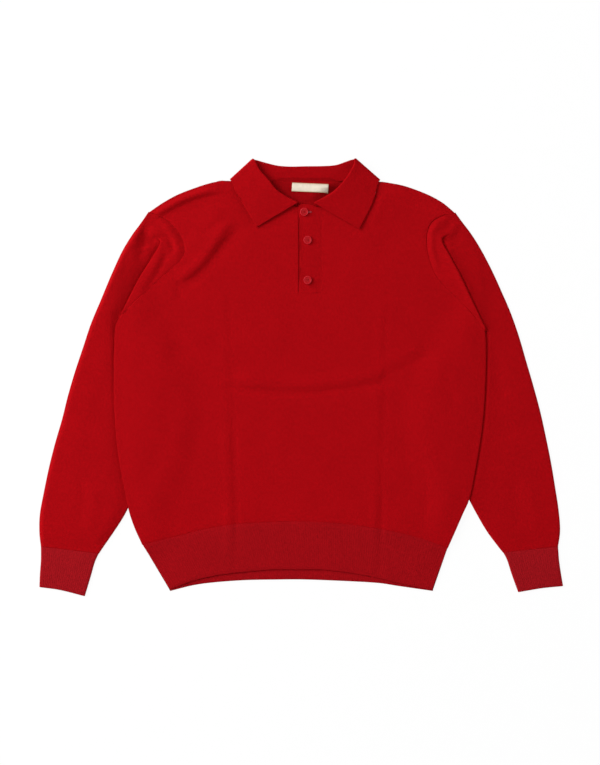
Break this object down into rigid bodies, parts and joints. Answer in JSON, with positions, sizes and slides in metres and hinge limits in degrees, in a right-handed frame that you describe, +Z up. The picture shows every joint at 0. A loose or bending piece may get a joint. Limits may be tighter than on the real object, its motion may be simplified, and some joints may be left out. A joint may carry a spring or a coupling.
{
  "type": "polo sweater",
  "caption": "Fine-knit long-sleeved polo sweater laid flat, with a folded knit collar, a short buttoned placket, ribbed cuffs and a ribbed hem.",
  "frame": {"origin": "centre of the laid-out sweater's outline, on the surface that it lies on", "axes": "+X to the viewer's right across the sleeves, +Y from hem to collar, +Z up out of the front panel"},
  "size_m": [0.836, 0.6987, 0.0107],
  "materials": {
    "knit": "matt fine wool knit, red",
    "rib": "matt ribbed wool knit, a little darker red",
    "button": "polished, red",
    "label": "satin-woven, cream"
  },
  "bodies": {
    "root": {"front": "knit", "back": "knit", "sleeve_left": "knit", "sleeve_right": "knit", "hem_rib_front": "rib", "hem_rib_back": "rib", "cuff_left": "rib", "cuff_right": "rib", "collar": "knit", "placket_top": "knit", "placket_under": "knit", "button_1": "button", "button_2": "button", "button_3": "button", "label": "label"}
  },
  "joints": []
}
